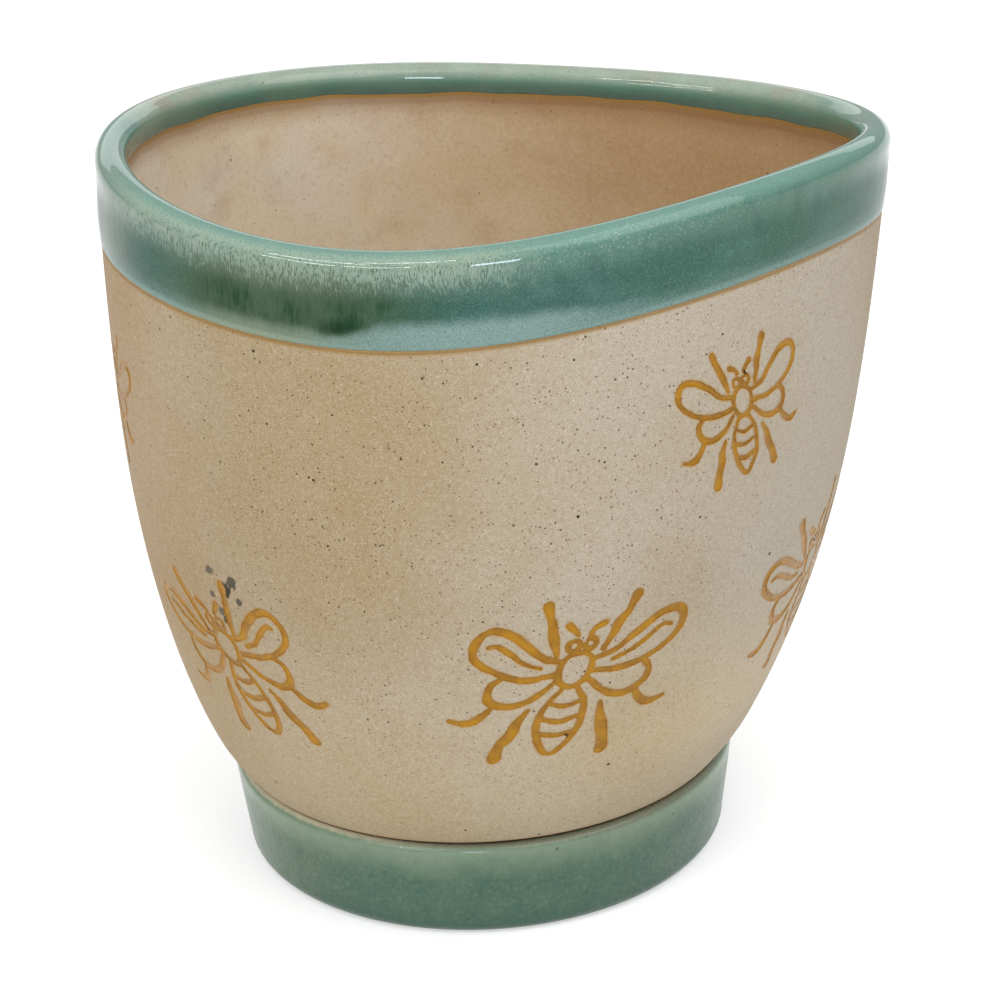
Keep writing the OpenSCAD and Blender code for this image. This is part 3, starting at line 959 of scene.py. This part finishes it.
def saucer_material():
    net, c = new_material("saucer_glaze")
    high = bpy.context.scene.planter_sizes.saucer_height
    cloud = net.noise(.007, 4, (2, 6, 1), rough=.65)
    fine = net.noise(.0011, 3, (5, 1, 1), rough=.65)
    net.base = net.mix(cloud.ease(.38, .66) * .5, c.saucer, screen(80, 106, 84))
    net.paint(fine.ease(.48, .68) * .7, 54, 88, 76)
    net.paint(fine.ease(.5, .32) * .4, 100, 120, 100)
    drawn = net.noise(.0024, 3, (6, 6, 1), (1, 1, 2.2), rough=.6)
    net.paint(drawn.ease(.5, .75) * .45, 54, 82, 66)
    # Painted shade: darker towards the bottom, near the floor.
    net.paint(net.z.ease(.009, .001) * .5, 48, 80, 66)
    net.paint(net.x.ease(-.03, -.06) * .22, 92, 104, 52)
    # Milky towards the crest, with a ragged lower border; on the crest, thin and brown to the
    # right, and pale to the left with a painted highlight.
    ragged = net.noise(.02, 2, (7, 1, 4)).sway(.008)
    ragged = ragged + net.noise(.003, 2).sway(.005)
    top = (net.z + ragged).ease(.0155, .0255)
    net.paint(top * (.4 + fine * .7), c.saucer_pale)
    worn = net.near(305, high / MM, 66, .05)
    crest = net.z + net.noise(.002, 3).sway(.0006) + worn * .0009
    crest = crest.ease(high - .0009, high + .0001)
    right = net.x.ease(-.045, 0)
    # The pale left crest is a painted highlight over the thin glaze.
    net.paint(crest * (.9 - right * .4), net.mix(right, screen(208, 200, 172), c.saucer_brown))
    # Painted shade on the saucer's inner slope, under the pot's edge.
    hollow = net.z.ease(high, high - .0006) * net.attribute("bowl")
    net.paint(hollow * .8, 40, 68, 60)
    iron = net.specks(.0034, .0005, .6, (1, 3, 5))
    iron = iron.most(net.specks(.01, .0009, .5, (3, 2, 6)))
    net.paint(iron * .75, 62, 62, 44)
    bare = net.attribute("bare")
    net.paint(bare, c.clay_inside)
    gloss = .34 + fine.ease(.4, .8) * .12 + bare * .35 - crest * .12
    swell = net.bump(net.noise(.014, 2, (1, 2, 8)), .0006)
    coat = (1 - bare) * (net.z.ease(.022, .026) * .5 + .3)
    return net.surface(Base_Color=net.base, Roughness=gloss, Specular_IOR_Level=.32,
                       Coat_IOR=1.38, Coat_Roughness=.1, Coat_Weight=coat,
                       Normal=net.bump(fine, .00008, swell))


def dress(piece, body, material):
    """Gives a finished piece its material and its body."""
    piece.data.materials.append(material)
    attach(piece, body)


# The pieces

class PLANTER_OT_clay_pot(bpy.types.Operator):
    """Make the pot's clay with its stamped bees, and the glaze in the stamps"""
    bl_idname = "planter.clay_pot"
    bl_label = "Clay pot"

    def execute(self, context):
        sizes = context.scene.planter_sizes
        shape = ClayShape(sizes)
        sheet = blank_sheet("pot_clay", shape.columns, shape.rows)
        near, line = 3.6 * MM, 1.35 * MM      # how far round the lines the faces get finer
        subdivide_where(sheet, lambda x, row: shape.stamp_gap(x, row) < near, 2)
        subdivide_where(sheet, lambda x, row: np.abs(shape.stamp_gap(x, row) + .1 * MM) < line, 1)
        tris = triangles_of(sheet)
        flat = read(sheet.data.vertices, "co")[:, :2]
        gap, flat, tris = cut_at_zero(shape.stamp_gap(*flat.T), flat, tris, .07 * MM)
        x, row = flat.T
        a = shape.angle(x)
        points = shape.place(x, row, stamp_press(gap, sizes.stamp_depth))
        below = np.where(row <= shape.wall_rows - .5, shape.glaze_gap(a, shape.wall_share(a, row)),
                         shape.wall.crest(a) - shape.wall.lined(a) - points[:, 2])
        inside = (row > shape.wall_rows + 4) * (points[:, 2] > shape.wall.floor_z - PIN)
        old = sheet.data
        sheet.data = new_mesh("pot_clay", points, tris, {
            "line_gap": gap, "glaze_gap": np.clip(below, -.05, .05), "inside": inside})
        bpy.data.meshes.remove(old)
        close_seams(sheet)
        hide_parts("pot")
        dress(sheet, "pot", clay_material())

        # The glaze fills the same triangles, from just off the groove's bottom to its own level.
        fill = tris[(gap[tris] < PIN).all(axis=1)]
        top = shape.place(x, row, stamp_press(gap, sizes.stamp_fill) - PIN)
        low = shape.place(x, row, stamp_press(gap, sizes.stamp_depth - PIN) - PIN)
        faces = np.vstack([fill, fill[:, ::-1] + len(top)])
        mesh = new_mesh("amber_glaze", np.vstack([top, low]), faces, {"line_gap": np.tile(gap, 2)})
        amber = add_object("amber_glaze", mesh)
        close_seams(amber)
        dress(amber, "pot", amber_material())
        return {"FINISHED"}


class PLANTER_OT_rim_glaze(bpy.types.Operator):
    """Make the coat of glaze over the rim, with its rolled edge and its runs"""
    bl_idname = "planter.rim_glaze"
    bl_label = "Rim glaze"

    def execute(self, context):
        sizes = context.scene.planter_sizes
        wall = Wall(sizes)
        under = .25 * MM         # how far the coat reaches into the clay
        tall = sizes.glaze_depth - wall.lip
        climb = [0, .02, .07, .15, .27, .42, .62, .9, 1.3, 1.8] + list(np.arange(2.5, 19.9, .75))
        stations = [("wall", min(.95, h * MM / tall)) for h in climb] + [("wall", .97)]
        stations += [("lip", turn) for turn in [*range(0, 181, 8), 180]]
        stations += [("lining", v) for v in (.25, .5, .7, .82, .9, .95, .98, .995, 1.0)]
        stations += [("lining_back", v) for v in (1.0, .6, .2)]
        stations += [("lip_back", turn) for turn in range(180, -1, -30)]
        stations += [("wall_back", v) for v in (.9, .7, .5, .3, .15, .04, 0)]

        def thick(points, share):
            """How far the glaze stands proud, thicker where it has run and pooled."""
            runs = ripple(points * (1, 1, .35), .016, 11) * .06 * MM
            swell = ripple(points, .035, 5) * .07 * MM
            pool = np.exp(-((share - .72) / .2) ** 2)
            level = sizes.glaze_thick * (.55 + .75 * pool)
            return level + (runs + swell) * smooth(share, .05, .4)

        def rolled(height, proud):
            """The same at this height from an edge, where the coat rolls in under the clay."""
            t = np.clip(1 - height / (.9 * MM), 0, 1)
            return -under + (proud + under) * np.sqrt(1 - t * t)

        def outer(a, v):
            """Depth below the crest and share of the wall, for v 0 at the edge and 1 at the lip."""
            depth = wall.drop(a) + (wall.lip - wall.drop(a)) * v
            return depth, wall.share(a, depth)

        def inner(a, v):
            """The same inside the mouth, for v 0 at the lip and 1 at the edge."""
            depth = wall.lip + (wall.lined(a) - wall.lip) * v
            return depth, wall.share(a, depth)

        def on_wall(a, v):
            depth, s = outer(a, v)
            proud = thick(wall.skin(a, s), depth / wall.drop(a))
            return wall.inset(a, s, -rolled(wall.drop(a) - depth, proud))

        def on_lip(a, turn):
            share = np.where(turn < 90, wall.lip / wall.drop(a) * (1 - turn / 90), 0)
            return wall.over_lip(a, turn, -thick(wall.over_lip(a, turn, 0 * a), share))

        def on_lining(a, v):
            depth, s = inner(a, v)
            proud = rolled(wall.lined(a) - depth, .55 * sizes.glaze_thick + 0 * a)
            return wall.inset(a, s, sizes.wall + proud)

        kinds = {
            "wall": on_wall, "lip": on_lip, "lining": on_lining,
            "lining_back": lambda a, v: wall.inset(a, inner(a, v)[1], sizes.wall - under + 0 * a),
            "lip_back": lambda a, turn: wall.over_lip(a, turn, under + 0 * a),
            "wall_back": lambda a, v: wall.inset(a, outer(a, v)[1], under + 0 * a),
        }
        sheet = blank_sheet("rim_glaze_coat", GLAZE_COLUMNS, len(stations))
        x, row = read(sheet.data.vertices, "co").T[:2]
        a = ClayShape.SEAM + 360 * x / GLAZE_COLUMNS
        row = np.rint(row).astype(int) % len(stations)
        points = by_station(stations, a, row, kinds)
        place_corners(sheet.data, points)
        # How far down the glaze has come: 0 at the crest, 1 at the edge outside, -1 inside.
        inside = [k.startswith("lining") or k.startswith("lip") and v > 90 for k, v in stations]
        depth = wall.crest(a) - points[:, 2]
        keep(sheet.data, "fall", np.where(np.array(inside)[row], -depth / wall.lined(a),
                                          depth / wall.drop(a)))
        close_seams(sheet)
        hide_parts("rim_glaze")
        dress(sheet, "pot", rim_glaze_material())
        return {"FINISHED"}


class PLANTER_OT_saucer(bpy.types.Operator):
    """Make the saucer by drawing a ring up and over, one step after another"""
    bl_idname = "planter.saucer"
    bl_label = "Saucer"

    def execute(self, context):
        z = context.scene.planter_sizes
        crest, corner, fillet = z.saucer_wall / 2, z.saucer_corner, 4 * MM
        inner = z.saucer_rim - z.saucer_wall
        level = z.saucer_height - crest

        def arc(across, up, radius, start, end, count):
            return [(across + radius * math.cos(t), up + radius * math.sin(t))
                    for t in np.radians(np.linspace(start, end, count))]

        # Radius and height of each step, from the underside out, up, over the crest and in.
        path = [(.045, 0), (.0585, 0)]
        path += arc(z.saucer_base - corner, corner, corner, -90, -6, 12)
        path += [(z.saucer_base + (z.saucer_rim - z.saucer_base) * t, corner + (level - corner) * t)
                 for t in np.linspace(0, 1, 17)[1:]]
        path += arc(z.saucer_rim - crest, level, crest, 12, 180, 16)
        path += [(inner - .5 * MM, .02), (inner - 1.0 * MM, .016)]
        path += arc(inner - 1.4 * MM - fillet, z.saucer_floor + fillet, fillet, 0, -90, 9)
        path += [(radius, z.saucer_floor) for radius in (.045, .03, .012)]
        radius, height = .02, 0
        piece = start("saucer_dish", bpy.ops.mesh.primitive_circle_add, vertices=SAUCER_COLUMNS,
                      radius=radius, fill_type="TRIFAN")
        context.tool_settings.mesh_select_mode = (True, False, False)
        with editing(piece, "DESELECT"):
            bpy.ops.mesh.select_non_manifold()
            for next_radius, next_height in path:
                bpy.ops.mesh.extrude_edges_move(
                    TRANSFORM_OT_translate={"value": (0, 0, next_height - height)})
                grow = next_radius / radius
                bpy.ops.transform.resize(value=(grow, grow, 1),
                                         center_override=(0, 0, next_height))
                radius, height = next_radius, next_height
            bpy.ops.mesh.extrude_edges_move(TRANSFORM_OT_translate={"value": (0, 0, 0)})
            bpy.ops.mesh.merge(type="CENTER")
            bpy.ops.mesh.select_all(action="SELECT")
            bpy.ops.mesh.normals_make_consistent(inside=False)
        mesh = piece.data
        points = read(mesh.vertices, "co")
        plan, up = points * (1, 1, 0), points[:, 2]
        reach = np.maximum(np.linalg.norm(plan, axis=1), 1e-6)
        lumps = .1 * MM * ripple(points, .04, 21) * smooth(up, .001, .006)
        place_corners(mesh, points + lumps[:, None] * plan / reach[:, None])
        keep(mesh, "bare", up < .25 * MM)
        keep(mesh, "bowl", (reach < z.saucer_rim - crest - .7 * MM) & (up > z.saucer_floor - PIN))
        close_seams(piece)
        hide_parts("saucer")
        dress(piece, "saucer", saucer_material())
        return {"FINISHED"}


# The stage

class PLANTER_OT_stage(bpy.types.Operator):
    """Make the floor, the world, the lamps and the camera"""
    bl_idname = "planter.stage"
    bl_label = "Stage"

    def lamp(self, name, azimuth, elevation, distance, size, power, colour):
        """An area lamp that looks at the rim from an azimuth and elevation in degrees."""
        data = bpy.data.lights.new(name, "AREA")
        data.shape = "RECTANGLE"
        data.size, data.size_y = size
        data.energy, data.color = power, colour
        a, e = math.radians(azimuth), math.radians(elevation)
        out = distance * math.cos(e)
        add_object(name, data, (out * math.cos(a), out * math.sin(a), .12 + distance * math.sin(e)),
                   (math.pi / 2 - e, 0, a + math.pi / 2))

    def execute(self, context):
        scene = context.scene
        floor = start("floor", bpy.ops.mesh.primitive_plane_add, size=14)
        net = Net(bpy.data.materials.new("floor"))
        rays = net.add("ShaderNodeLightPath").outputs
        seen = Value(net, rays["Is Camera Ray"]).most(rays["Is Glossy Ray"])
        glow = net.mix(seen.most(rays["Is Transmission Ray"]), grey(0), grey(.42))
        floor.data.materials.append(net.surface(
            Base_Color=grey(.7), Roughness=.9, Specular_IOR_Level=0,
            Emission_Color=glow, Emission_Strength=1.0))

        scene.world = bpy.data.worlds.new("studio")
        net = Net(scene.world)
        rays = net.add("ShaderNodeLightPath").outputs
        level = net.mix(rays["Is Glossy Ray"], grey(.8), grey(.4))
        level = net.mix(rays["Is Camera Ray"], level, grey(1))
        back = net.add("ShaderNodeBackground", None, {"Color": level, "Strength": 1.0})
        net.add("ShaderNodeOutputWorld", None, {"Surface": back.outputs[0]})

        self.lamp("front", 264, 10, 1.3, (.22, .22), 2.3, (.7, .85, 1.0))
        for side, azimuth, width, high in (("left", 223, .4, 42), ("middle", 240, .26, 50)):
            for at, elevation in (("low", 24), ("high", high)):
                self.lamp("tube_" + side + "_" + at, azimuth, elevation, 1.3,
                          (width, .024), 3.3 * width, (1, .99, .97))
        self.lamp("rear", 90, 22, 1.7, (2.4, .5), 3.4, (.95, .98, 1.0))
        self.lamp("overhead", 312, 54, 1.4, (1.3, 1.3), 8.2, (1, 1, 1))

        # The photo's view: the lens in millimetres, the place in metres and the turn in degrees.
        lens, place, turn = 99.16, (0, -.67276, .3705), (67.56544, 2.69597, -1.78291)
        data = bpy.data.cameras.new("camera")
        data.lens = lens
        scene.camera = add_object("camera", data, place, np.radians(turn))
        scene.view_settings.view_transform = "Standard"
        return {"FINISHED"}


class PLANTER_PT_sidebar(bpy.types.Panel):
    """Sizes, colours and steps of the planter"""
    bl_label = "Ceramic planter"
    bl_idname = "PLANTER_PT_sidebar"
    bl_space_type = "VIEW_3D"
    bl_region_type = "UI"
    bl_category = "Planter"

    def draw(self, context):
        for step in (PLANTER_OT_stage, PLANTER_OT_clay_pot, PLANTER_OT_rim_glaze,
                     PLANTER_OT_saucer):
            self.layout.operator(step.bl_idname)
        for group in (context.scene.planter_sizes, context.scene.planter_colours):
            box = self.layout.box()
            for name in group.bl_rna.properties.keys():
                if name not in ("name", "rna_type"):
                    box.prop(group, name)


CLASSES = (PlanterSizes, PlanterColours, PLANTER_OT_stage, PLANTER_OT_clay_pot,
           PLANTER_OT_rim_glaze, PLANTER_OT_saucer, PLANTER_PT_sidebar)


def register():
    for cls in CLASSES:
        bpy.utils.register_class(cls)
    bpy.types.Scene.planter_sizes = PointerProperty(type=PlanterSizes)
    bpy.types.Scene.planter_colours = PointerProperty(type=PlanterColours)


def unregister():
    del bpy.types.Scene.planter_colours
    del bpy.types.Scene.planter_sizes
    for cls in reversed(CLASSES):
        bpy.utils.unregister_class(cls)


def main():
    register()
    bpy.ops.planter.stage()
    bpy.ops.planter.clay_pot()
    bpy.ops.planter.rim_glaze()
    bpy.ops.planter.saucer()


if __name__ == "__main__":
    main()
